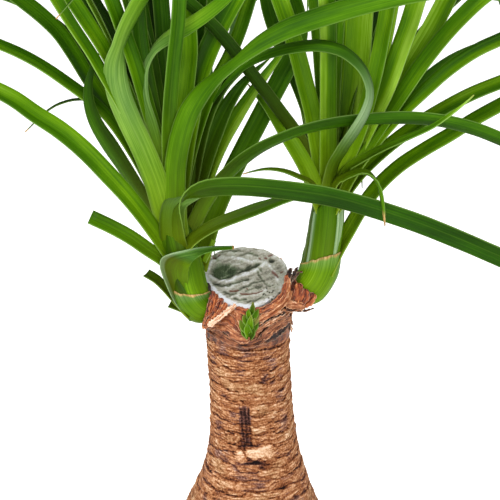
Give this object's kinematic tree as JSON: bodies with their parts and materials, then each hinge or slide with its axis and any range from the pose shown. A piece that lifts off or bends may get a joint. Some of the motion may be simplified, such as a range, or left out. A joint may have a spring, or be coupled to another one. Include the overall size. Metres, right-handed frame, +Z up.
{
  "type": "potted ponytail palm",
  "caption": "Ponytail palm with a ring-scarred, sawn-off trunk, arching strap leaves on a shoot at each side and a small front bud, set in soil in a round clay pot.",
  "frame": {"origin": "centre of the flat underside of the pot", "axes": "+Z up, +X to the right of someone facing the saw cut's low side, +Y away from them"},
  "size_m": [0.7685, 0.4829, 0.8363],
  "materials": {
    "clay": "unglazed, matte",
    "soil": "crumbly, matte",
    "bark": "corky rings, matte",
    "cut_seal": "hardened, chalky",
    "dry_scale": "papery, satin",
    "leaf": "waxy, satin",
    "bud": "waxy, satin"
  },
  "bodies": {
    "root": {"pot": "clay", "soil": "soil", "trunk": "bark", "cut_seal": "cut_seal", "dry_scales": "dry_scale", "left_head": "leaf", "right_head": "leaf", "front_bud": "bud"}
  },
  "joints": []
}
